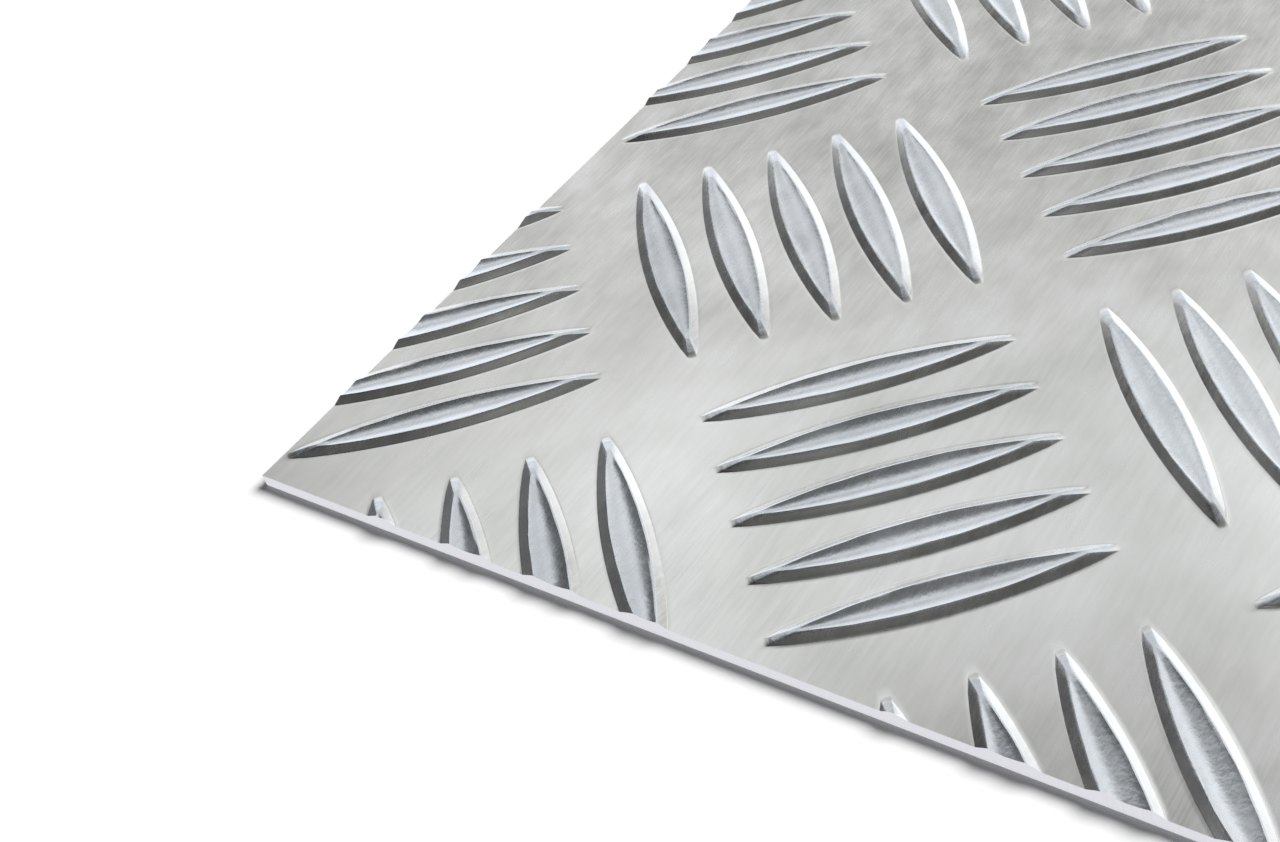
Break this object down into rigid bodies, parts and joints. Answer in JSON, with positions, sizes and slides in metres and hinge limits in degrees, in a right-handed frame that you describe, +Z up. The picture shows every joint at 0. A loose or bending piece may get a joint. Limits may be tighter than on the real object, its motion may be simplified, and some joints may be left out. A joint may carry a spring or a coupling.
{
  "type": "aluminium checker plate",
  "caption": "Flat aluminium tread sheet with raised lens-shaped bars in groups, each group turned square to the next, and straight sheared edges that cut the bars flush.",
  "frame": {"origin": "centre of the plain underside, on the surface that the sheet lies on", "axes": "+X along the sheet's length, which is the rolling direction, +Y across it, +Z up out of the tread"},
  "size_m": [0.4, 0.2, 0.002],
  "materials": {
    "mill_finish_aluminium": "mill finish, satin, with rolling lines along the sheet"
  },
  "bodies": {
    "root": {"checker_plate": "mill_finish_aluminium"}
  },
  "joints": []
}
